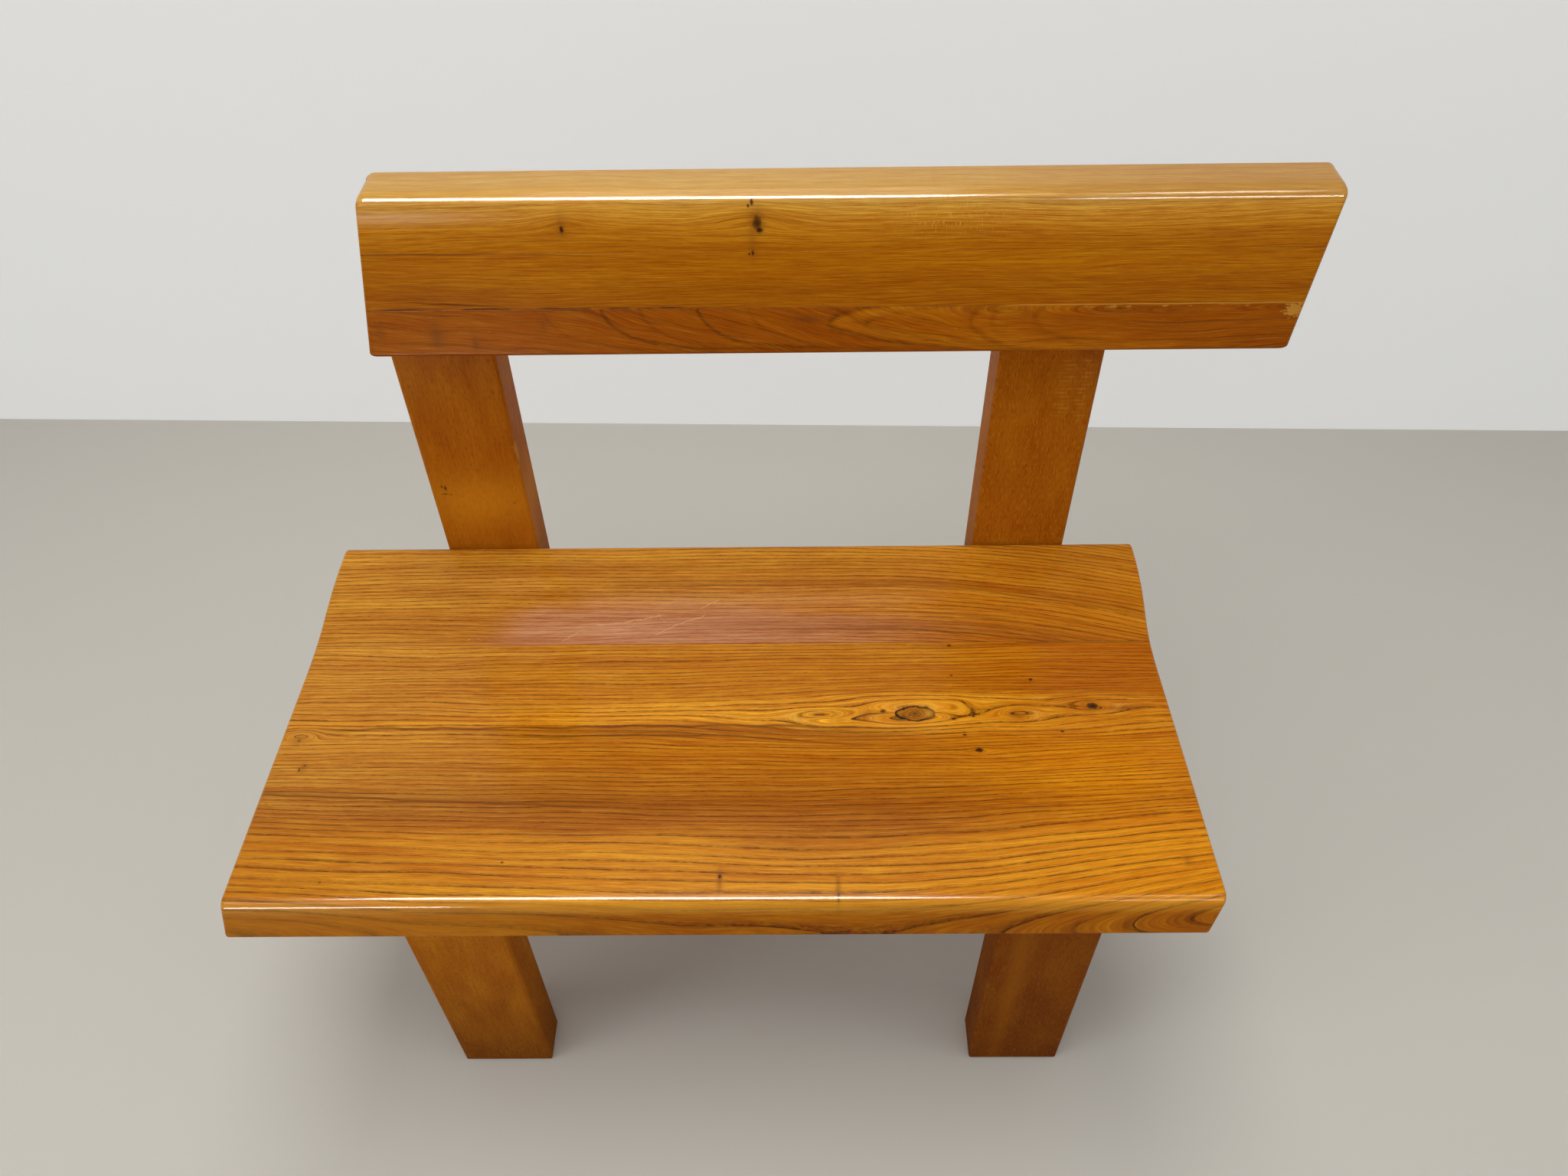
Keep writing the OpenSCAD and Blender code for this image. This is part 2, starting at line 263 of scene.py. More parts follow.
# Of the varnish: the tint of its faint gloss, and its refraction
GLOSS_TINT = (1.0, 0.55, 0.2, 1)
VARNISH_IOR = 1.45


class Value:
    """A socket that adds, multiplies and so on by making Math nodes."""

    def __init__(self, tree, socket):
        self.tree = tree
        self.socket = socket

    def __add__(self, other):
        return self.tree.math("ADD", self, other)

    def __sub__(self, other):
        return self.tree.math("SUBTRACT", self, other)

    def __rsub__(self, other):
        return self.tree.math("SUBTRACT", other, self)

    def __mul__(self, other):
        return self.tree.math("MULTIPLY", self, other)

    def __truediv__(self, other):
        return self.tree.math("DIVIDE", self, other)

    __radd__ = __add__
    __rmul__ = __mul__


class Tree:
    """The nodes of a new material or of the world."""

    def __init__(self, name, world=None):
        self.material = world or bpy.data.materials.new(name)
        self.material.use_nodes = True
        self.material.node_tree.nodes.clear()

    def node(self, kind, inputs=(), **settings):
        """A node of that kind, with its inputs set or linked."""
        made = self.material.node_tree.nodes.new("ShaderNode" + kind)
        for key, value in settings.items():
            setattr(made, key, value)
        for key, value in dict(inputs).items():
            if isinstance(value, Value):
                self.material.node_tree.links.new(value.socket, made.inputs[key])
            else:
                made.inputs[key].default_value = value
        return made

    def value(self, kind, inputs=(), output=0, **settings):
        """One output of a new node."""
        return Value(self, self.node(kind, inputs, **settings).outputs[output])

    def math(self, operation, a, b=0.0):
        return self.value("Math", {0: a, 1: b}, operation=operation)

    def place(self):
        """The point's x, y and z in the source's millimetres."""
        split = self.node("SeparateXYZ", {0: self.value("TexCoord", output="Object")})
        x, y, z = [Value(self, socket) for socket in split.outputs]
        return x / MM + ORIGIN_X, y / MM + ORIGIN_Y, z / MM

    def step(self, value, low, high):
        """Goes smoothly from 0 at low to 1 at high, which may be the smaller."""
        return self.value(
            "MapRange", {"Value": value, "From Min": low, "From Max": high},
            interpolation_type="SMOOTHSTEP")

    def bell(self, value, centre, width):
        """1 at the centre, going to 0 at the width to each side."""
        return self.step(self.math("ABSOLUTE", value - centre), width, 0)

    def hill(self, x, y, centre, size):
        """A round hill of height 1 with that place and those radii."""
        a = (x - centre[0]) / size[0]
        b = (y - centre[1]) / size[1]
        return self.math("EXPONENT", (a * a + b * b) * -1)

    def noise(self, x, y, z=0.0, detail=2.0, rough=0.5):
        """Smooth noise from 0 to 1, with one cell for each unit of x, y and z.

        Where a coordinate is a plain number, it only picks one of many patterns.
        """
        vector = self.value("CombineXYZ", {0: x, 1: y, 2: z})
        return self.value(
            "TexNoise", {"Vector": vector, "Scale": 1.0, "Detail": detail, "Roughness": rough})

    def curve(self, value, points):
        """A smooth curve through points with x and y from 0 to 1."""
        made = self.node("FloatCurve", {"Value": value})
        line = made.mapping.curves[0]
        line.points[0].location = points[0]
        line.points[1].location = points[-1]
        for point in points[1:-1]:
            line.points.new(*point)
        made.mapping.update()
        return Value(self, made.outputs[0])

    def ramp(self, value, low, high, stops):
        """Colours along a value, each with the value at which it stands."""
        made = self.node("ValToRGB", {0: (value - low) / (high - low)})
        elements = made.color_ramp.elements
        while len(elements) < len(stops):
            elements.new(0.5)
        for element, (at, colour) in zip(elements, stops):
            element.position = (at - low) / (high - low)
            element.color = (*colour, 1)
        return Value(self, made.outputs[0])

    def mix(self, factor, a, b, blend="MIX"):
        """The colour a where the factor is 0 and b where it is 1."""
        made = self.node("Mix", data_type="RGBA", blend_type=blend, clamp_factor=True)
        # A Mix node has its colours at sockets 6 and 7, and their mix at output 2
        for socket, value in ((made.inputs[0], factor), (made.inputs[6], a), (made.inputs[7], b)):
            if isinstance(value, Value):
                self.material.node_tree.links.new(value.socket, socket)
            else:
                socket.default_value = value if isinstance(value, (int, float)) else (*value, 1)
        return Value(self, made.outputs[2])

    def finish(
            self, colour, height, rough, coat, coat_rough=0.13, bump=0.00012, spec=0.05, metal=0.0):
        """Joins colour, height and roughness to a varnished surface. The bump is in metres."""
        relief = self.value("Bump", {"Height": height, "Distance": bump, "Strength": 1.0})
        shader = self.value("BsdfPrincipled", {
            "Base Color": colour, "Roughness": rough, "Normal": relief,
            "Specular IOR Level": spec, "Specular Tint": GLOSS_TINT, "Metallic": metal,
            "Coat Weight": coat, "Coat Roughness": coat_rough, "Coat IOR": VARNISH_IOR,
        })
        self.node("OutputMaterial", {"Surface": shader})
        return self.material


# Wood

# Lengths are in mm, so noise(x / 23, y / 900) has patches of about 23 by 900 mm. A zone that
# starts at x = 380 and is full from x = 40 on is step(x, 380, 40). Colours are linear.
LINE = (0.1, 0.028, 0.002)
PALE = (0.8, 0.38, 0.06)
SMEAR = (0.16, 0.045, 0.005)
RUBBED = (0.68, 0.3, 0.035)
# Of a small knot, its halo, body and heart: where each starts and is full, how strong, colour
KNOT_LAYERS = [
    (2.1, 0.7, 0.35, (0.2, 0.062, 0.006)), (1.15, 0.7, 1, (0.085, 0.026, 0.004)),
    (0.65, 0.2, 0.8, (0.018, 0.008, 0.003)),
]
# Outwards from its centre, the tones of a large sound knot
KNOT_RINGS = [
    (0.0, (0.1, 0.032, 0.002)), (0.18, (0.3, 0.098, 0.004)), (0.32, (0.17, 0.052, 0.003)),
    (0.46, (0.38, 0.132, 0.006)), (0.6, (0.2, 0.064, 0.003)), (0.74, (0.42, 0.15, 0.006)),
    (0.9, (0.17, 0.048, 0.003)), (1.0, (0.03, 0.009, 0.002)),
]
KNOT_CRESCENT = (0.52, 0.235, 0.022)
KNOT_SHADOW = (0.022, 0.008, 0.002)


def rings(t, radius, along, width):
    """Of the growth rings: the share of each that is passed, its strength and its tone."""
    phase = radius * (1 / width) + t.noise(radius / 23, along / 900, 1.7) * 1.6
    passed = t.math("FRACT", phase)
    number = t.math("FLOOR", phase)
    strength = t.step(t.noise(number * 5.31, along / 170, 4.2, 1.0), 0.28, 0.58)
    tone = t.noise(number * 3.77, along / 300, 11.2, 1.0)
    return passed, strength, tone


def grain(t, radius, along, passed, strength):
    """How dark the wood is from its rings and pores, from 0 to 1."""
    early = t.math("POWER", 1 - passed, 4.5)
    late = t.math("POWER", passed, 4.0) * 0.2
    dashes = t.step(t.noise(along / 13, radius / 1.9, 6.2, 1.0), 0.34, 0.56)
    pores = t.step(t.noise(along / 5, radius / 0.45, 2.2, 1.0), 0.5, 0.66)
    line = early * (strength * 0.52 + 0.52) * (dashes * 0.45 + 0.55)
    return line + late + pores * (t.step(passed, 0.5, 0.0) * 0.3 + 0.07)


def fibres(t, radius, along, tone):
    """Fine streaks and slow clouds of lighter and darker wood, about 1 on average."""
    fine = t.noise(along / 30, radius / 0.7, 7.7, 3.0, 0.7)
    slow = t.noise(along / 230, radius / 15, 3.3)
    return fine * 1.45 + slow * 0.4 + tone * 0.4 - 0.09


def pale_streaks(t, radius, along, passed, strength):
    """Where a ring's wood is palest, just past its dark line, in broken streaks."""
    streak = t.step(t.noise(along / 46, radius / 1.3, 13.0), 0.44, 0.66)
    return t.bell(passed, 0.34, 0.26) * streak * (strength * 0.6 + 0.4)


def shaded(t, colour, shade):
    """A colour made lighter, or darker and redder, by a grey value."""
    grey = t.value("CombineXYZ", {0: shade, 1: shade * shade, 2: shade * shade * shade})
    return t.mix(1.0, colour, grey, "MULTIPLY")


def varnished(t, colour, dark, coat, coat_rough=0.13):
    """The finish of a large board, whose dark rings lie deeper and are duller."""
    return t.finish(colour, 1 - dark, 0.34 + dark * 0.15, coat=coat, coat_rough=coat_rough)


def parting(t, x, y, place):
    """How far the rings step aside as they pass round a knot."""
    px, py, size, stretch = place
    a = (x - px) / stretch
    b = y - py
    return b * (size * size) / (a * a + b * b + 0.4 * size * size)


def knots(t, colour, x, y, places):
    """Small knots: a soft brown halo, a dark body and a blacker heart."""
    for px, py, rx, ry, dark in places:
        a = (x - px) / rx
        b = (y - py) / ry
        turn = t.noise(a * 1.3, b * 1.3, px) * 0.9 - 0.45
        far = t.math("SQRT", a * a + b * b) + turn
        for start, full, strong, tint in KNOT_LAYERS:
            colour = t.mix(t.step(far, start, full) * strong * dark, colour, tint)
    return colour


def smears(t, colour, x, y, places):
    """Soft brown marks: place, radii and how strong each is."""
    for px, py, rx, ry, strong in places:
        spot = t.hill(x, y, (px, py), (rx, ry)) * (t.noise(x / 3, y / 3, px) * 1.2 + 0.4)
        colour = t.mix(spot * strong, colour, SMEAR)
    return colour


def rubbed(t, colour, along, length, depth):
    """Pale, rubbed wood along the arrises of a board's ends."""
    near = t.math("MINIMUM", along, length - along) + depth
    near = near + t.noise(along / 7, depth / 7, 3.1, 3.0) * 6
    return t.mix(t.step(near, 6.5, 3.5) * 0.4, colour, RUBBED)


def seat_ends(t, colour, x, z):
    """The seat's rubbed end arrises."""
    along = x - (z - SEAT_TOP) * tan(radians(SEAT_SLANT))
    below = t.math("MAXIMUM", SEAT_TOP - HOLLOW_DEPTH - z, 0.0)
    return rubbed(t, colour, along, SEAT_LEN, t.math("MINIMUM", below, z - SEAT_UNDER))


def ringed_knot(t, colour, x, y, centre, size):
    """A large sound knot: rings of olive and brown inside a dark, broken rim."""
    a = (x - centre[0]) / size[0]
    b = (y - centre[1]) / size[1]
    turn = t.noise(x / 7, y / 5, 5.5) * 0.5 - 0.25
    far = t.math("SQRT", a * a + b * b) + turn
    speck = t.noise(x / 1.6, y / 0.9, 2.5, 3.0) * 0.36 - 0.18
    body = t.ramp(far + speck, 0, 1.25, KNOT_RINGS)
    # The rim is blackest on its near left side and opens to a pale crescent at the right
    pale = t.hill(a, b, (0.82, 0.05), (0.3, 0.62))
    body = t.mix(pale * 0.75, body, KNOT_CRESCENT)
    colour = t.mix(t.step(far - pale * 0.16, 1.14, 1.04), colour, body)
    shadow = t.hill(a, b, (-0.8, -0.62), (0.34, 0.36))
    return t.mix(shadow * 0.9, colour, KNOT_SHADOW)


# The seat's front board

# Heights over which the front face gives way to the top and to the nose
TOP_FROM, NOSE_FROM = (412, 424), (415, 424)
# Towards the ends the rings bend back: a curve along the board, and how far at most
BOWL_X, BOWL_LEN, BOWL_DEPTH = -10, 880, 52
BOWL = [
    (0, 0.5), (0.24, 0.2), (0.47, 0.03), (0.59, 0.0), (0.7, 0.06), (0.82, 0.3), (0.94, 0.72), (1, 1),
]
# The line of the row of knots, and how near it the rings part
AXIS_X, AXIS_Y, AXIS_SLOPE, PARTED = 600, 204, 0.012, 34
# Round these the rings part: x, y, radius and how far along the grain they reach
SEAT_PARTINGS = [
    (602, 202, 12, 3.4), (511, 199, 6.5, 3.2), (773, 210, 5, 3.6), (659, 157, 3.5, 4.0),
    (17, 176, 5, 3.0), (701, 199, 5, 3.4),
]
# Where closed loops of rings stand: x, y, x radius, y radius and height
SEAT_EYES = [
    (511, 199, 19, 6, 6), (642, 209, 11, 13, 1.8), (668, 208, 26, 9, -3), (702, 200, 15, 5, 1.5),
    (17, 180, 16, 8, 6),
]
# The tree's heart, which rises at the right, and where the rings begin to get narrower
HEART_U, HEART_Z, HEART_BEND_X = -60, 395, 650
FRONT_RING, NARROW_FROM = 8.6, 135

# x, y, x radius, y radius and how dark
SEAT_KNOTS = [
    (774, 210, 6, 4, 1.0), (659, 157.5, 4, 2.6, 1.0), (719.5, 244, 1.9, 1.6, 1.0),
    (643.5, 289, 2.0, 1.6, 0.8), (642, 250, 1.6, 1.0, 0.7), (639, 195, 2.2, 1.4, 1.0),
    (658, 198, 1.8, 1.1, 0.9), (647.5, 175.5, 1.9, 1.1, 0.9), (740, 179, 1.9, 1.2, 0.8),
    (696, 201, 2.4, 1.6, 0.6), (422, 24, 1.6, 2.2, 0.9), (523, 5, 1.0, 3.5, 0.8),
    (572, 205, 3.0, 2.2, 0.8), (233, 39, 1.5, 1.0, 0.7), (80, 20, 1.3, 1.0, 0.5),
    (17, 173, 2.0, 1.6, 0.35), (27, 139, 1.2, 2.2, 0.6), (31, 144, 1.4, 1.0, 0.5),
]
SEAT_SMEARS = [
    (17, 174, 8, 5, 0.45), (30, 141, 4, 6, 0.4), (705, 94, 9, 2.2, 0.45), (724, 96, 9, 1.8, 0.4),
    (824, 38, 4, 6, 0.4), (806, 86, 3, 3, 0.35), (422, 20, 2.6, 12, 0.55), (523, 14, 2.6, 12, 0.5),
    (700, 199, 9, 4, 0.6), (800, 207, 26, 2.6, 0.5), (620, 158, 30, 1.1, 0.5), (560, 203, 9, 3, 0.4),
]
LARGE_KNOT, LARGE_KNOT_RADII = (602.5, 201.5), (17.0, 8.8)

# Across the rings, the tones from front to back
FRONT_STOPS = [
    (-70, (0.44, 0.135, 0.002)), (5, (0.58, 0.205, 0.008)), (50, (0.54, 0.184, 0.008)),
    (80, (0.33, 0.086, 0.004)), (100, (0.29, 0.072, 0.003)), (125, (0.39, 0.112, 0.004)),
    (190, (0.48, 0.144, 0.004)), (250, (0.49, 0.152, 0.004)), (296, (0.49, 0.154, 0.006)),
]
STRAW = (0.57, 0.24, 0.024)
ORANGE = (0.62, 0.185, 0.002)
HONEY = (0.42, 0.125, 0.003)
RUST = (0.41, 0.098, 0.001)
AMBER = (0.78, 0.29, 0.006)
GOLD = (0.68, 0.255, 0.01)
BROWN_BAND = (0.25, 0.066, 0.002)
WEDGE_LINE = (0.12, 0.034, 0.002)
LATE_RING = (0.15, 0.042, 0.004)
# Painted shade of the upright front face, multiplied in
FACE_SHADE = (1.0, 0.84, 0.5)
FACE_BROWN = (0.17, 0.038, 0.001)
FACE_GOLD = (0.5, 0.18, 0.006)
# Pale nose, partly from rubbing and partly a painted sheen between its highlights
RUBBED_NOSE_SHEEN = (0.78, 0.34, 0.028)


def front_flow(t, x, y):
    """The place across the rings, and the distance behind the row of knots: plain and bent."""
    bowl = t.curve((x - BOWL_X) / BOWL_LEN, BOWL) * BOWL_DEPTH
    fade = t.math("MINIMUM", t.math("EXPONENT", y / -90), 1.0)
    wave = t.noise(x / 210, y / 45, 8.1, 1.0) * 14
    # The rings part round the row of knots, the more the further right
    off = y - AXIS_Y - (x - AXIS_X) * AXIS_SLOPE
    opening = t.step(x, 250, 620) * 0.36 + 0.14
    part = t.math("EXPONENT", off * off / (-PARTED * PARTED)) * opening
    swirl = (t.noise(x / 90, y / 24, 12.4, 1.0) - 0.5) * part * 14
    flow = 0.0
    for place in SEAT_PARTINGS:
        flow = parting(t, x, y, place) + flow
    for px, py, rx, ry, height in SEAT_EYES:
        flow = flow + t.hill(x, y, (px, py), (rx, ry)) * height
    u = y - bowl * fade + wave - 7 - off * part + swirl - flow
    return u, off, off - flow + swirl


def front_rings(t, x, z, u):
    """The distance from the tree's heart, and the rings at it."""
    side = z - HEART_Z - t.math("MAXIMUM", x - HEART_BEND_X, 0.0) * 0.1
    across = u - HEART_U
    radius = t.math("SQRT", across * across + side * side)
    outer = t.math("MAXIMUM", radius - NARROW_FROM, 0.0)
    return radius, rings(t, radius + outer * 0.75, x, FRONT_RING)


def front_tones(t, x, y, z, u):
    """The tones from front to back, and zones that are lighter or darker."""
    drift = t.noise(x / 170, u / 40, 21.0) * 60 - 30
    base = t.ramp(u + drift, -80, 300, FRONT_STOPS)
    left = t.step(x, 380, 40) * (t.step(y, 60, 130) * 0.45 + 0.1)
    base = t.mix(left, base, STRAW)
    right = t.step(x, 560, 800) * 0.5 * t.step(y, 220, 150)
    base = t.mix(right, base, ORANGE)
    front_left = t.step(x, 330, 60) * t.step(y, 90, 50) * t.step(z, *NOSE_FROM)
    base = t.mix(front_left * 0.5, base, HONEY)
    back_right = t.step(x, 560, 780) * t.step(y, 175, 235)
    base = t.mix(back_right * 0.85, base, RUST)
    return t.mix(t.hill(x, y, (775, 125), (110, 26)) * 0.33, base, AMBER)


def golden_wedge(t, x, u, v):
    """A golden wedge along the row of knots, which opens to the right."""
    back_edge = t.step(x, 60, 400) * 18 - 2
    front_edge = t.step(x, 400, 600) * -14 - 10
    gold = t.step(v - back_edge, 8, -6) * t.step(v - front_edge, -4, 5)
    gold = gold * (t.step(x, 100, 480) * 0.4 + 0.6) * (t.step(x, 760, 620) * 0.75 + 0.25)
    return gold * (t.noise(x / 110, u / 2.4, 31.0) * 3.0 - 0.55)


def half_rings(t, x, u, off, passed):
    """Broken lines halfway between the rings, near the row of knots."""
    halfway = t.math("POWER", 1 - t.math("FRACT", passed * 2), 5.0) * t.step(passed, 0.3, 0.5)
    broken = t.step(t.noise(x / 28, u / 4, 17.0), 0.36, 0.56)
    near = t.bell(off, 0, 44) * t.step(x, 300, 480)
    return halfway * broken * near


def wedge_lines(t, x, v):
    """Two thin dark lines along the wedge's front edge, which part at the right."""
    waver = (t.noise(x / 40, 5.0, 2.0, 1.0) - 0.5) * 6
    back_line = t.bell(v + waver, -12, 2.5) * t.step(x, 25, 60)
    spread = t.step(x, 400, 560) * 11
    front_line = t.bell(v + waver * 0.5 + 23 + spread, 0.0, 2.2) * t.step(x, 160, 260)
    lines = (front_line * 0.8 + back_line) * t.step(x, 700, 500)
    return lines * (t.noise(x / 50, 3.0, 1.0) * 1.3 + 0.2)


def late_ring(t, x, y, z):
    """One strong late ring at the left, dark on its far side."""
    past = y - 111 + x * 0.052 + (t.noise(x / 60, 0.0, 3.0) - 0.5) * 5
    faded = t.math("EXPONENT", t.math("MAXIMUM", past, 0.0) / -5)
    ring = t.step(past, -0.8, 0.2) * faded * 0.6 + t.bell(past, 0.8, 2.0) * 0.6
    return ring * t.step(x, 400, 250) * t.step(z, 400, 410)


def front_face(t, colour, x, y, z):
    """The front face, darkened by painted shade and golden at the left, and its rubbed nose with a
    painted sheen.
    """
    face = t.step(z, *reversed(TOP_FROM))
    # Painted shade: the upright front face is made darker and redder than the top
    colour = t.mix(face, colour, FACE_SHADE, "MULTIPLY")
    colour = t.mix(face * t.step(x, 80, 420) * 0.3, colour, FACE_BROWN)
    colour = t.mix(face * t.step(x, 480, 120) * 0.5, colour, FACE_GOLD)
    # The rubbed nose also carries a painted sheen between its highlights
    nose = t.step(z, 434, 430) * t.step(z, *NOSE_FROM) * t.step(y, 6, 0)
    return t.mix(nose * t.noise(x / 60, z / 3, 23.0) * 0.75, colour, RUBBED_NOSE_SHEEN)


def seat_front_wood():
    """Golden wood whose rings part round a row of knots."""
    t = Tree("seat_front_wood")
    x, y, z = t.place()
    u, off, v = front_flow(t, x, y)
    radius, (passed, strength, tone) = front_rings(t, x, z, u)
    dark = grain(t, radius, x, passed, strength)
    gold = golden_wedge(t, x, u, v)
    base = t.mix(gold, front_tones(t, x, y, z, u), GOLD)
    brown = t.bell(v, -19, 11) * t.step(x, 120, 330) * t.step(x, 680, 540)
    base = t.mix(brown * 0.6, base, BROWN_BAND)
    top = t.step(z, *TOP_FROM)
    pale = pale_streaks(t, radius, x, passed, strength) * (gold * 0.4 + 0.28) * top
    colour = shaded(t, base, fibres(t, radius, x, tone))
    colour = t.mix(pale, colour, PALE)
    colour = t.mix(dark * (gold * 0.1 + 1.0), colour, LINE)
    colour = t.mix(half_rings(t, x, u, off, passed) * 0.55, colour, LINE)
    colour = t.mix(wedge_lines(t, x, v) * 0.9, colour, WEDGE_LINE)
    colour = t.mix(late_ring(t, x, y, z) * 0.75, colour, LATE_RING)
    colour = front_face(t, colour, x, y, z)
    colour = seat_ends(t, colour, x, z)
    colour = smears(t, colour, x, y, SEAT_SMEARS)
    colour = knots(t, colour, x, y, SEAT_KNOTS)
    colour = ringed_knot(t, colour, x, y, LARGE_KNOT, LARGE_KNOT_RADII)
    return varnished(t, colour, dark, top * 0.255 * (t.step(x, 860, 380) * 0.7 + 0.3) + 0.02)


# The seat's rear board

# Right of BEND_X the rings bend forwards, with the radius BEND_R
BEND_X, BEND_R = 540, 1125
REAR_RING = 5.4
# Scratches: two ends and how pale each is
SCRATCHES = [
    ((151, 299), (160, 302), 0.5), ((160, 302), (169, 298), 0.4), ((249, 297), (267, 309), 0.75),
    ((281, 316), (311, 319), 0.65), ((309, 319), (352, 327), 0.8), ((343, 303), (369, 318), 0.7),
    ((367, 317), (397, 327), 0.8), ((346, 331), (354, 318), 0.4), ((389, 334), (410, 345), 0.6),
]
# Thin dark lines: place across the rings, where each starts, how dark
REAR_LINES = [(311, 420, 0.6), (322, 560, 0.5), (331, 480, 0.45), (341, 600, 0.5), (362, 240, 0.55)]
# Across the rings, the tones from front to back
REAR_STOPS = [
    (288, (0.43, 0.13, 0.008)), (318, (0.42, 0.125, 0.008)), (334, (0.5, 0.163, 0.009)),
    (352, (0.43, 0.13, 0.006)), (368, (0.58, 0.21, 0.012)), (386, (0.44, 0.138, 0.006)),
    (404, (0.6, 0.225, 0.012)), (428, (0.55, 0.2, 0.01)),
]
REAR_STRAW = (0.55, 0.225, 0.02)
REAR_ORANGE = (0.52, 0.145, 0.003)
REAR_RUST = (0.36, 0.086, 0.002)
# Worn varnish painted with a milky reflection
WORN_PINK_SHEEN = (0.46, 0.18, 0.088)
NEAR_RED = (0.27, 0.07, 0.014)
FAR_RED = (0.31, 0.072, 0.002)
REAR_LINE = (0.15, 0.04, 0.004)
SCRATCH_PALE = (0.66, 0.36, 0.17)


def scratch(t, x, y, a, b):
    """1 on the line from a to b, and 0 away from it."""
    run = Vector(b) - Vector(a)
    length = run.length
    ux, uy = run / length
    along = (x - a[0]) * ux + (y - a[1]) * uy
    across = (y - a[1]) * ux - (x - a[0]) * uy
    bend = (t.noise(along / 9, a[0], 2.0) - 0.5) * 5
    inside = t.step(along, -0.5, 4.0) * t.step(along, length + 0.5, length - 4)
    return t.bell(across + bend, 0.0, 0.75) * inside * t.step(t.noise(along / 4, a[0], 8.0), 0.3, 0.5)


def worn_sheen_zone(t, x, y, level, rough):
    """Where the varnish is worn behind the glue line and shows a painted milky reflection, with a
    slanting left end.
    """
    behind = level + rough + t.step(x, 400, 540) * 8
    from_left = x - (y - 296) * 0.6 + rough
    return t.step(behind, 348, 326) * t.step(from_left, 150, 215) * t.step(x, 720, 390)


def rear_tones(t, x, u, level, rough, worn):
    """The tones from front to back, the worn zone's painted milky reflection and two reddish bands."""
    drift = t.noise(x / 190, u / 26, 4.0) * 30 - 15
    base = t.ramp(u + drift, 270, 440, REAR_STOPS)
    base = t.mix(t.step(x, 380, 40) * 0.5, base, REAR_STRAW)
    base = t.mix(t.step(x, 480, 780) * 0.5, base, REAR_ORANGE)
    # Painted reflection: a milky pink over the worn varnish
    base = t.mix(worn * 0.75, base, WORN_PINK_SHEEN)
    near = t.bell(level + rough * 0.5, 316, 11) * t.step(x, 300, 450) * t.step(x, 860, 700)
    base = t.mix(near * 0.4, base, NEAR_RED)
    front_right = t.step(x, 620, 760) * t.step(level, 352, 322)
    base = t.mix(front_right * 0.6, base, REAR_RUST)
    far = t.bell(level + rough * 0.5, 368, 9) * t.step(x, 210, 330)
    return t.mix(far * 0.62, base, FAR_RED)


def seat_rear_wood():
    """Straighter wood with a worn zone painted with a milky pink reflection, scratches and thin dark
    lines.
    """
    t = Tree("seat_rear_wood")
    x, y, z = t.place()
    wave = t.noise(x / 260, y / 50, 2.4, 1.0) * 16
    rough = t.noise(x / 60, y / 16, 9.0) * 18 - 9
    past = t.math("MAXIMUM", x - BEND_X, 0.0)
    level = y + past * past / (2 * BEND_R)
    u = level + wave - 8
    radius = u + (z - 430) * 0.9
    passed, strength, tone = rings(t, radius + 300, x, REAR_RING)
    dark = grain(t, radius, x, passed, strength)
    # The worn zone, which also carries a painted milky reflection
    worn = worn_sheen_zone(t, x, y, level, rough)
    base = rear_tones(t, x, u, level, rough, worn)
    colour = shaded(t, base, fibres(t, radius, x, tone))
    colour = t.mix(pale_streaks(t, radius, x, passed, strength) * 0.25, colour, PALE)
    colour = t.mix(dark * (1 - worn * 0.4), colour, LINE)
    for at, start, strong in REAR_LINES:
        line = t.bell(level + rough * 0.35, at, 2.0) * t.step(x, start, start + 140)
        line = line * strong * (t.noise(x / 40, at, 3.0) + 0.4)
        colour = t.mix(line, colour, REAR_LINE)
    for a, b, pale in SCRATCHES:
        colour = t.mix(scratch(t, x, y, a, b) * pale, colour, SCRATCH_PALE)
    seam = t.step(y, SEAT_GLUE_Y + 0.9, SEAT_GLUE_Y + 0.3)
    colour = t.mix(seam * 0.7, colour, LINE)
    colour = seat_ends(t, colour, x, z)
    return varnished(t, colour, dark, t.step(x, 860, 380) * 0.18 + 0.07, coat_rough=0.16)


# The backrest

# Places on it are given as x and the height above its lower edge
BACK_EYES = [(297, 120, 22, 7, 5), (459, 122, 40, 12, 9)]
BACK_KNOTS = [
    (297, 113, 1.6, 3.0, 1.0), (459, 117, 4.2, 6.5, 0.75), (461, 111, 2.6, 2.2, 1.0),
    (455, 134, 1.3, 2.6, 0.9), (452, 131, 1.0, 1.6, 0.8), (455, 92, 1.2, 2.2, 0.9),
    (452, 91, 0.9, 1.2, 0.7),
]
BACK_SMEARS = [
    (297, 116, 4, 12, 0.35), (459, 120, 8, 14, 0.35), (455, 100, 4, 16, 0.25), (176, 21, 7, 12, 0.6),
    (209, 14, 3.5, 9, 0.5), (127, 26, 5, 10, 0.4), (271, 30, 4, 8, 0.35), (500, 33, 16, 4, 0.6),
]
# Rings that leave the low glue line and sweep down to the right: where each starts, how dark
SWEEPS = [(271, 0.25), (322, 0.8), (355, 0.35), (405, 0.75), (449, 0.3)]
# Flames that open to the right: where each has its tip, how wide it opens, how dark
FLAMES = [
    (520, 30, 6, 0.75), (552, 28, 4, 0.3), (642, 31, 18, 0.34), (660, 31, 16, 0.16), (697, 32, 14, 0.28),
]
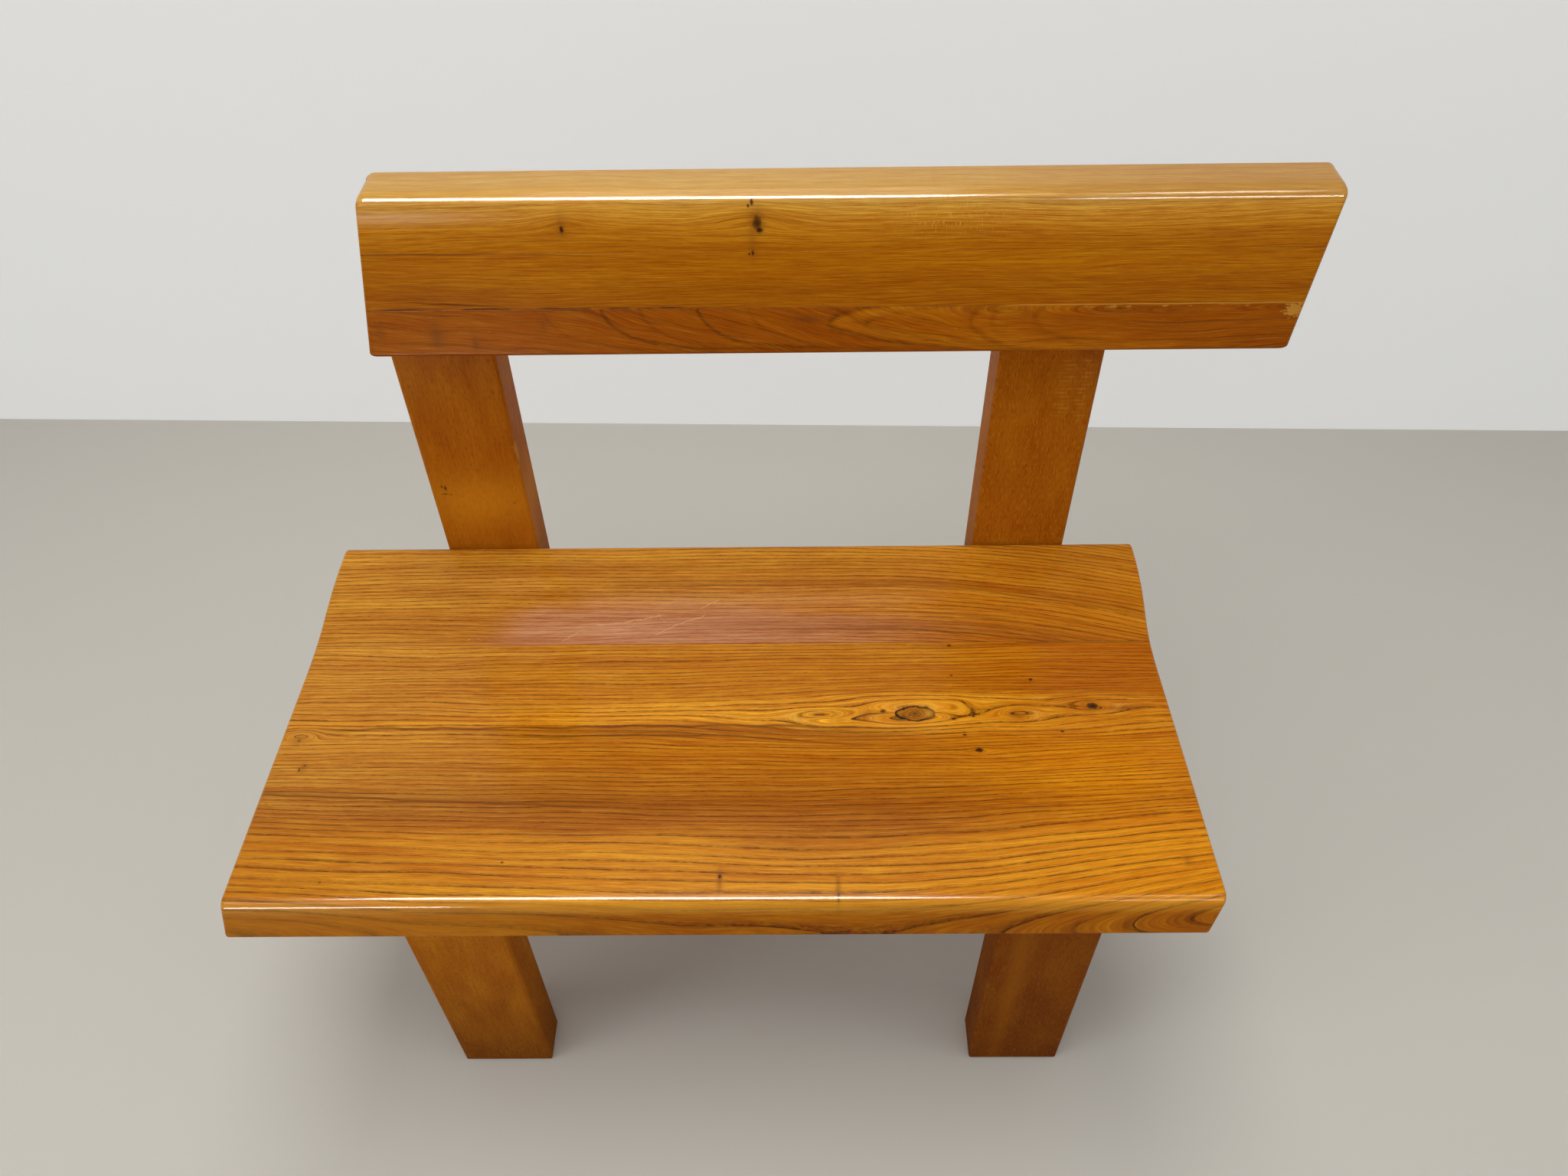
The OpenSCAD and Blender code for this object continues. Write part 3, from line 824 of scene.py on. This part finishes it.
# Up the backrest, the tones of each board
# The highest stops, on the top face, are pale as a painted reflection
TOP_STOPS = [
    (95, (0.43, 0.128, 0.001)), (112, (0.54, 0.19, 0.007)), (126, (0.66, 0.275, 0.024)),
    (146, (0.48, 0.262, 0.056)), (170, (0.45, 0.25, 0.076)),
]
MIDDLE_STOPS = [
    (-20, (0.4, 0.112, 0.001)), (60, (0.37, 0.103, 0.001)), (80, (0.44, 0.132, 0.001)),
    (170, (0.4, 0.115, 0.001)),
]
LOW_STOPS = [
    (-20, (0.31, 0.07, 0.001)), (20, (0.335, 0.078, 0.001)), (60, (0.32, 0.072, 0.001)),
    (170, (0.34, 0.08, 0.001)),
]
TOP_BROWN = (0.35, 0.155, 0.028)
# A painted highlight glow
PAINTED_GLOW = (0.8, 0.56, 0.36)
CRACK = (0.07, 0.016, 0.001)
GLUE = (0.12, 0.032, 0.002)
CHIP = (0.66, 0.33, 0.045)
SWEEP = (0.11, 0.028, 0.001)
FLAME_BROWN = (0.16, 0.038, 0.002)
FLAME_PALE = (0.56, 0.185, 0.004)
FLAME_LINE = (0.13, 0.034, 0.001)
RAY_TICK = (0.78, 0.42, 0.07)


def leaning_rings(t, x, h, v, seed, tilt):
    """Rings that lean by the tilt through the board and bulge round its knots."""
    wave = t.noise(x / 230, h / 60, seed, 1.0) * 16 - 8
    u = h + v * tilt + wave
    for px, ph, rx, rh, height in BACK_EYES:
        u = u - t.hill(x, h, (px, ph), (rx, rh)) * height
    return u


def flame_rings(t, x, h, v):
    """The flame figure of the lowest board: loops that open to the right."""
    side = h - 42 - t.step(x, 640, 250) * 60 + t.noise(x / 110, h / 30, 6.6, 1.0) * 18 - 9
    run = t.math("MAXIMUM", 770 - x, 0.0) * 0.1 + t.noise(x / 60, 4.0, 2.0, 1.0) * 7
    return t.math("SQRT", side * side + run * run) + v * 0.3


def flame_tones(t, colour, x, h, passed, strength):
    """Soft brown between the loops of the flame figure."""
    soft = t.math("POWER", 1 - passed, 1.6) * strength * t.noise(x / 50, h / 20, 2.0)
    return t.mix(soft * (t.step(x, 640, 760) * 0.55 + 0.2), colour, FLAME_BROWN)


def sweeps(t, colour, x, h):
    """Thin dark curves at the left of the lowest board and flames at its right."""
    glue, reach, bend = BACK_GLUE_Z[0] - BACK_LOW, 43, 16
    wander = (t.noise(x / 17, h / 12, 19.0, 3.0) - 0.5) * 8
    for start, strong in SWEEPS:
        past = t.math("MAXIMUM", x - start, 0.0)
        steep = t.math("DIVIDE", reach * bend, (past + bend) * (past + bend))
        off = (h - glue + past / (past + bend) * reach + wander) / (steep + 1)
        line = t.bell(off, 0.0, 2.2) * t.step(x, start - 2, start) * t.step(past, 210, 80)
        line = line * (t.noise(x / 20, start, 5.0) + 0.35)
        colour = t.mix(line * strong, colour, SWEEP)
    for tip_x, tip_h, open_by, strong in FLAMES:
        rise = h - tip_h + wander * 0.6
        steep = t.math("ABSOLUTE", rise) * (2 / open_by) + 1
        off = (x - tip_x + wander - rise * rise / open_by) / steep
        fade = t.step(t.math("ABSOLUTE", rise), 34, 18) * t.noise(x / 16, h / 9, tip_x) * 1.8
        pale = t.step(off, 0.5, 5) * t.step(off, 26, 6)
        colour = t.mix(pale * strong * 0.45, colour, FLAME_PALE)
        colour = t.mix(t.bell(off, 0.0, 3.2) * fade * strong, colour, FLAME_LINE)
    return colour


def seams(t, colour, x, h):
    """The two glue lines: cracked and dark at the left, worn pale at the right."""
    low, high = [z - BACK_LOW for z in BACK_GLUE_Z]
    rough = (t.noise(x / 22, h / 30, 14.0) - 0.5) * 2.4
    broken = t.step(t.noise(x / 34, 2.0, 5.0), 0.38, 0.56)
    crack = t.bell(h - low + rough, 0.6, 1.7) * broken * t.step(x, 440, 380)
    second = t.bell(h - low - 8 + (x - 150) * 0.06 + rough, 0.0, 1.4) * t.bell(x, 195, 70) * 0.9
    upper = t.bell(h - high + rough * 0.4, 0.0, 1.2) * t.step(x, 260, 200) * 0.8
    cracks = t.math("MAXIMUM", t.math("MAXIMUM", crack, second), upper)
    colour = t.mix(cracks * 0.9, colour, CRACK)
    fine = t.math("MAXIMUM", t.bell(h, low, 0.7), t.bell(h, high, 0.6) * 0.6)
    colour = t.mix(fine * 0.5, colour, GLUE)
    under = t.step(h, low + 1, low)
    chips = t.step(t.noise(x / 12, h / 4, 3.0, 3.0), 0.55, 0.66) * t.step(h, low - 5, low - 1) * under
    worn = t.bell(h - low + rough * 0.3, 0.2, 0.9) * t.step(x, 655, 690)
    pale = t.math("MAXIMUM", worn * 0.75, chips * t.step(x, 700, 780) * 0.6)
    end = t.hill(x, h, (921, low - 6), (11, 7)) + t.noise(x / 4, h / 2.2, 8.0, 3.0, 0.7) * 2.4 - 1.2
    pale = t.math("MAXIMUM", pale, t.step(end, 0.4, 0.62) * under * 0.6)
    return t.mix(pale, colour, CHIP)


def ray_ticks(t, colour, x, h):
    """Short pale ticks of the rays, across the grain near the backrest's top."""
    tick = t.step(t.noise(x / 1.1, h / 7, 17.0, 1.0), 0.6, 0.7)
    return t.mix(tick * t.hill(x, h, (620, 121), (42, 14)) * 0.8, colour, RAY_TICK)


def backrest_wear(t, colour, x, h, v):
    """Rubbed ends, and a painted glow of a highlight under the nose at the left."""
    along = x - BACK_X - h * tan(radians(BACK_SLANT))
    inside = t.math("MINIMUM", t.math("MAXIMUM", v, 0.0), t.math("MAXIMUM", BACK_T - v, 0.0))
    colour = rubbed(t, colour, along, BACK_LEN, inside)
    # Painted highlight: a pale glow just under the nose
    painted_glow = t.hill(x, h, (150, 124), (75, 5)) * t.step(x, 108, 124)
    return t.mix(painted_glow * 0.3, colour, PAINTED_GLOW)


def backrest_wood(name, seed, ring_width, stops, contrast, tilt=0.0, flamed=False):
    """Wood of a board of the backrest, whose rings lean by the tilt or form flames."""
    t = Tree(name)
    x, y, z = t.place()
    h = z - BACK_LOW
    v = y - BACK_FRONT_Y - h * tan(radians(BACK_LEAN))
    u = flame_rings(t, x, h, v) if flamed else leaning_rings(t, x, h, v, seed, tilt)
    passed, strength, tone = rings(t, u + 200, x, ring_width)
    dark = grain(t, u + seed * 40, x, passed, strength) * contrast
    base = t.ramp(u, -40, 180, stops)
    # The top face's painted reflection is dimmer and browner at the right
    base = t.mix(t.step(h, 130, 145) * t.step(x, 420, 880) * 0.75, base, TOP_BROWN)
    if flamed:
        base = flame_tones(t, base, x, h, passed, strength)
        base = sweeps(t, base, x, h)
    colour = shaded(t, base, fibres(t, u + seed * 40, x, tone * 0.4 + 0.3))
    colour = t.mix(pale_streaks(t, u, x, passed, strength) * 0.12, colour, PALE)
    colour = t.mix(dark, colour, LINE)
    # Painted reflection: the top face takes its pale sheen tone with little grain
    colour = t.mix(t.step(h, 132, 142) * 0.6, colour, base)
    colour = seams(t, colour, x, h)
    colour = ray_ticks(t, colour, x, h)
    colour = smears(t, colour, x, h, BACK_SMEARS)
    colour = knots(t, colour, x, h, BACK_KNOTS)
    colour = backrest_wear(t, colour, x, h, v)
    return varnished(t, colour, dark, t.step(h, 122, 136) * (t.step(x, 130, 420) * 0.08 + 0.24) + 0.07)


# Legs, posts and hidden pieces

# Tones at the foot, at the seat and at the top. The legs' darker feet are painted shade, and the right
# leg's darker tones are partly painted shade.
LEFT_LEG_TONES = [(0.24, 0.066, 0.002)] + 2 * [(0.6, 0.18, 0.005)]
RIGHT_LEG_TONES = [(0.18, 0.041, 0.001)] + 2 * [(0.3, 0.078, 0.002)]
POST_TONES = [(0.31, 0.084, 0.002), (0.37, 0.104, 0.003), (0.46, 0.132, 0.003)]
# A painted reflection of the seat
SEAT_REFLECTION = (0.62, 0.235, 0.01)
KNOT = (0.035, 0.012, 0.003)
# Marks: x and z, radii, how strong and which colour
# The first mark is a painted reflection of the seat, low on the left post
LEFT_POST_MARKS = [
    ((158, 508), (60, 36), 0.75, SEAT_REFLECTION), ((128, 526), (1.2, 3.0), 1.0, KNOT),
    ((124.5, 528), (1.0, 2.0), 0.8, KNOT), ((126, 518), (3.2, 0.8), 0.8, KNOT),
    ((132, 517), (1.6, 0.8), 0.7, KNOT), ((196, 505), (1.0, 2.0), 0.5, KNOT),
]
RIGHT_LEG_MARKS = [((706, 180), (9, 260), 0.35, (0.42, 0.13, 0.004))]
# Rungs of ray wood on the right post: their heights, and how far apart they are
RUNGS_LOW, RUNGS_HIGH, RUNG_STEP = 613, 684, 4.6
WORN_Z = 572
BRIGHT = (0.56, 0.215, 0.014)
ARRIS = (0.52, 0.21, 0.03)
BARE = (0.6, 0.29, 0.05)
RUNG = (0.62, 0.25, 0.02)
BEARER_TONES = (0.42, 0.16, 0.03), (0.32, 0.1, 0.015)
PEG_TONES = (0.5, 0.24, 0.07), (0.38, 0.15, 0.03)
STEEL_TONES = (0.42, 0.42, 0.4), (0.62, 0.61, 0.58)


def upright_wood(name, corner, seed, tones, marks=(), worn=0.0, wavy=0.0, coat=0.1):
    """Straight-grained wood of a leg or post, with its right arris bare at the height worn."""
    x0, y0 = corner
    foot, middle, top = tones
    t = Tree(name)
    x, y, z = t.place()
    wave = t.noise(x / 60, z / 260, seed, 1.0) * 18
    ripple = (t.noise(x / 16, z / 11, seed + 1, 1.0) - 0.5) * 6 * wavy
    u = x + (y - y0) * 0.7 + wave + ripple
    cloud = t.noise(u / 26, z / 90, seed + 3, 3.0)
    streak = t.noise(u / 1.6, z / 40, seed + 5, 3.0, 0.65)
    fleck = t.step(t.noise(u / 0.9, z / 7, seed + 7, 1.0), 0.52, 0.7)
    bright = t.step(t.noise(u / 1.2, z / 9, seed + 9, 1.0), 0.52, 0.7)
    base = t.ramp(z + cloud * 90 - 45, 0, 800, [(20, foot), (360, middle), (760, top)])
    colour = shaded(t, base, streak * 0.6 + cloud * 0.45 + 0.48)
    colour = t.mix(fleck * 0.35, colour, LINE)
    colour = t.mix(bright * (0.14 + 0.36 * wavy), colour, BRIGHT)
    for centre, size, strong, tint in marks:
        spot = t.hill(x, z, centre, size) * (t.noise(x / 5, z / 9, seed, 3.0) + 0.5)
        colour = t.mix(spot * strong, colour, tint)
    dx = t.math("MINIMUM", x - x0, x0 + LEG_W - x)
    dy = t.math("MINIMUM", y - y0, y0 + LEG_T - y)
    near = dx + dy + t.noise(x / 9, y / 9, z / 14, 3.0) * 6
    colour = t.mix(t.step(near, 5.4, 2.6) * 0.45, colour, ARRIS)
    if worn:
        ragged = t.noise(x / 3, z / 11, seed, 4.0, 0.7) * 9
        bare = t.step(dx + dy * 0.5 + ragged, 7.5, 5.5) * t.bell(z, worn, 34)
        colour = t.mix(bare * t.step(x, x0 + 60, x0 + 70) * 0.7, colour, BARE)
    return t.finish(colour, 1 - fleck * 0.5, 0.34 + fleck * 0.1, coat=coat, coat_rough=0.2, spec=0.0)


def ladder(x0):
    """Marks for pale rungs of ray wood near a post's outer arris."""
    rungs = []
    for i in range(round((RUNGS_HIGH - RUNGS_LOW) / RUNG_STEP)):
        for column, half in ((67, 5.5), (84, 4.5)):
            across = x0 + column + 3 * sin(i * 2.3 + column)
            strong = 0.46 + 0.22 * sin(i * 1.7 + column)
            radii = (half + sin(i * 3.1), 1.2)
            rungs.append(((across, RUNGS_LOW + i * RUNG_STEP), radii, strong, RUNG))
    return rungs


def plain_wood(name, axis, tones, seed):
    """Wood of a hidden piece, with its grain along one axis."""
    t = Tree(name)
    x, y, z = t.place()
    along = (x, y, z)[axis]
    across = (y, x, x)[axis] + (z, z, y)[axis] * 0.8
    streak = t.noise(across / 2.4, along / 80, seed, 3.0, 0.6)
    fleck = t.step(t.noise(across / 0.8, along / 6, seed + 2, 1.0), 0.56, 0.72)
    colour = t.mix(t.noise(across / 22, along / 140, seed + 4) * 1.3 - 0.15, *tones)
    colour = shaded(t, colour, streak * 0.4 + 0.8)
    colour = t.mix(fleck * 0.3, colour, LINE)
    return t.finish(colour, 1 - fleck * 0.5, 0.5 + fleck * 0.1, coat=0.1)


def brushed_steel():
    """Steel of the screws, with fine clouds in its tone and its roughness."""
    t = Tree("screw_steel")
    x, y, z = t.place()
    cloud = t.noise(x / 0.4, y / 0.4, z / 0.4)
    colour = t.mix(cloud, *STEEL_TONES)
    return t.finish(colour, cloud, cloud * 0.15 + 0.3, coat=0.0, bump=0.00002, spec=0.5, metal=1.0)


# The seat and the backrest

BACK, UP = Vector((0, 1, 0)), Vector((0, 0, 1))
# x, y, radius and depth
NOSE_DENTS = [(422, 4, 5, 0.35), (523, 2, 5, 0.4)]

seat = plank(seat_outline(), 0, SEAT_LEN, SEAT_TOP, SEAT_SLANT, END_R, NOSE_DENTS)
seat_cut = row(0, SEAT_GLUE_Y, 0)
board("seat_front_board", seat, [(seat_cut, BACK)],
      "seat_board_front", seat_front_wood())
board("seat_rear_board", seat, [(seat_cut, -BACK)],
      "seat_board_rear", seat_rear_wood())
seat.free()

back = plank(back_outline(), BACK_X, BACK_LEN, BACK_LOW, BACK_SLANT, BACK_END_R)
low_cut, high_cut = [row(0, 0, z) for z in BACK_GLUE_Z]
board("backrest_top_board", back, [(high_cut, -UP)], "backrest_board_top",
      backrest_wood("backrest_top_wood", 1.3, 4.6, TOP_STOPS, 0.42, tilt=0.55))
board("backrest_middle_board", back, [(high_cut, UP), (low_cut, -UP)],
      "backrest_board_middle",
      backrest_wood("backrest_middle_wood", 6.1, 3.7, MIDDLE_STOPS, 0.42, tilt=0.4))
board("backrest_bottom_board", back, [(low_cut, UP)], "backrest_board_bottom",
      backrest_wood("backrest_bottom_wood", 9.4, 9.5, LOW_STOPS, 0.3, flamed=True))
back.free()


# The CAD nodes that stay

steel = brushed_steel()
FINISHES = {
    "front_leg_left": upright_wood("leg_left_wood", (LEFT_LEG_X, LEG_Y), 11.0, LEFT_LEG_TONES),
    "front_leg_right": upright_wood(
        "leg_right_wood", (RIGHT_LEG_X, LEG_Y), 23.0, RIGHT_LEG_TONES, RIGHT_LEG_MARKS),
    "rear_post_left": upright_wood(
        "post_left_wood", (LEFT_LEG_X, SEAT_DEPTH), 37.0, POST_TONES, LEFT_POST_MARKS,
        worn=WORN_Z, coat=0.16),
    "rear_post_right": upright_wood(
        "post_right_wood", (RIGHT_LEG_X, SEAT_DEPTH), 41.0, POST_TONES, ladder(RIGHT_LEG_X),
        wavy=1.0, coat=0.16),
    "seat_bearer_left": plain_wood("bearer_left_wood", 1, BEARER_TONES, 3.0),
    "seat_bearer_right": plain_wood("bearer_right_wood", 1, BEARER_TONES, 5.0),
    "tenon_pegs": plain_wood("peg_wood", 0, PEG_TONES, 7.0),
    "backrest_plugs": plain_wood("plug_wood", 2, PEG_TONES, 9.0),
    "seat_screws": steel,
    "backrest_screws": steel,
}
for name, finish in FINISHES.items():
    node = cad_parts[name]
    node.data.materials.clear()
    node.data.materials.append(finish)


# The room, in metres

ROOM, WALL_TOP = 6.0, 4.0
# How far back the wall stands, and how much it turns
WALL_Y, WALL_TURN = 0.956, 0.026
FLOOR_COLOUR = (0.59, 0.56, 0.5)
WALL_COLOUR, WALL_GLOW = (0.5, 0.5, 0.49), 0.36
GLOW_COLOUR = (1, 1, 0.98, 1)
# Name, width and height, place, what it points at, and watts
LAMPS = [
    ("ceiling_panel", (2.0, 1.0), (-0.1, 0.0, 2.6), (0, 0, 0.4), 30),
    ("left_window", (1.2, 1.4), (-2.4, -1.2, 1.9), (0, 0, 0.4), 16),
    ("right_window", (1.2, 1.4), (2.6, -0.8, 1.9), (0, 0, 0.4), 7),
]
# Lamps that show only in the gloss, where the photograph has its highlights
GLINTS = [
    ("nose_strip", (1.33, 0.4), (-0.245, -0.77, 1.83), (0, -0.2, 0.43), 186),
    ("right_strip", (0.34, 0.18), (0.82, -0.77, 1.83), (0.3, -0.2, 0.43), 9),
    ("low_strip", (0.28, 0.08), (-0.56, -0.73, 0.34), (-0.37, -0.24, 0.42), 5.5),
    ("back_glow", (0.6, 0.5), (-1.25, -1.5, 1.45), (-0.35, 0.2, 0.8), 8),
    ("end_strip", (0.75, 0.18), (0.98, -1.34, 1.1), (0.36, 0.16, 0.85), 26),
]
# The world's strength at the horizon and overhead
WORLD_COLOUR, WORLD_LOW, WORLD_HIGH = (0.96, 0.98, 1.0, 1), 0.24, 0.7


def sheet(name, corners, colour, glow=0.0):
    """A plain part of the room, seen from its front only. The glow shows but lights nothing."""
    data = bpy.data.meshes.new(name)
    data.from_pydata(corners, [], [(0, 1, 2, 3)])
    t = Tree(name + "_paint")
    rays = t.node("LightPath").outputs
    seen = Value(t, rays["Is Camera Ray"]) + Value(t, rays["Is Glossy Ray"])
    seen = seen + Value(t, rays["Is Transmission Ray"])
    shader = t.value("BsdfPrincipled", {
        "Base Color": (*colour, 1), "Roughness": 0.6, "Specular IOR Level": 0.0,
        "Emission Color": GLOW_COLOUR, "Emission Strength": seen * glow})
    behind = t.value("NewGeometry", output="Backfacing")
    both = t.value("MixShader", {0: behind, 1: shader, 2: t.value("BsdfTransparent")})
    t.node("OutputMaterial", {"Surface": both})
    data.materials.append(t.material)
    add(name, data)


def lamp(name, size, place, target, watts):
    """A soft rectangular lamp that points at a target."""
    data = bpy.data.lights.new(name, "AREA")
    data.shape = "RECTANGLE"
    data.size, data.size_y = size
    data.energy = watts
    made = add(name, data)
    made.location = place
    made.rotation_euler = (Vector(target) - Vector(place)).to_track_quat("-Z", "Y").to_euler()
    return made


def light_world():
    """A world that is brighter overhead. The camera sees it nearly white."""
    world = bpy.data.worlds.new("soft_room")
    bpy.context.scene.world = world
    t = Tree("soft_room", world)
    direction = t.value("TexCoord", output="Generated")
    height = t.value("SeparateXYZ", {0: direction}, output="Z")
    strength = t.value("MapRange", {"Value": height, "To Min": WORLD_LOW, "To Max": WORLD_HIGH})
    seen = t.math("MAXIMUM", strength, t.value("LightPath", output="Is Camera Ray"))
    background = t.value("Background", {"Color": WORLD_COLOUR, "Strength": seen})
    t.node("OutputWorld", {"Surface": background})


left_y, right_y = WALL_Y + ROOM * WALL_TURN, WALL_Y - ROOM * WALL_TURN
sheet("floor", [(-ROOM, -ROOM, 0), (ROOM, -ROOM, 0), (ROOM, ROOM, 0), (-ROOM, ROOM, 0)], FLOOR_COLOUR)
sheet("wall", [(-ROOM, left_y, 0), (ROOM, right_y, 0),
               (ROOM, right_y, WALL_TOP), (-ROOM, left_y, WALL_TOP)], WALL_COLOUR, WALL_GLOW)
for each in LAMPS:
    lamp(*each)
for each in GLINTS:
    strip = lamp(*each)
    strip.visible_diffuse = False
    strip.visible_camera = False
light_world()


# The camera, as found from the bench's corners in the photograph: place and sensor in mm,
# turns in degrees, focal length and picture width in pixels

CAMERA_PLACE = (488.14, -492.7, 1327.91)
YAW, PITCH, ROLL = -0.7756, 46.2515, -0.9835
FOCAL, IMAGE_W, SENSOR = 1536.35, 2048, 36


def aim_camera():
    """Makes the scene's camera."""
    yaw, pitch, roll = [radians(a) for a in (YAW, PITCH, ROLL)]
    forward = Vector((sin(yaw) * cos(pitch), cos(yaw) * cos(pitch), -sin(pitch)))
    right = Vector((cos(yaw), -sin(yaw), 0))
    above = right.cross(forward)
    across = right * cos(roll) + above * sin(roll)
    upright = above * cos(roll) - right * sin(roll)
    camera = add("camera", bpy.data.cameras.new("camera"))
    camera.data.sensor_width = SENSOR
    camera.data.lens = FOCAL * SENSOR / IMAGE_W
    turned = Matrix((across, upright, -forward)).transposed().to_4x4()
    camera.matrix_world = Matrix.Translation(row(*CAMERA_PLACE)) @ turned
    bpy.context.scene.camera = camera


aim_camera()
bpy.context.scene.view_settings.view_transform = "Standard"
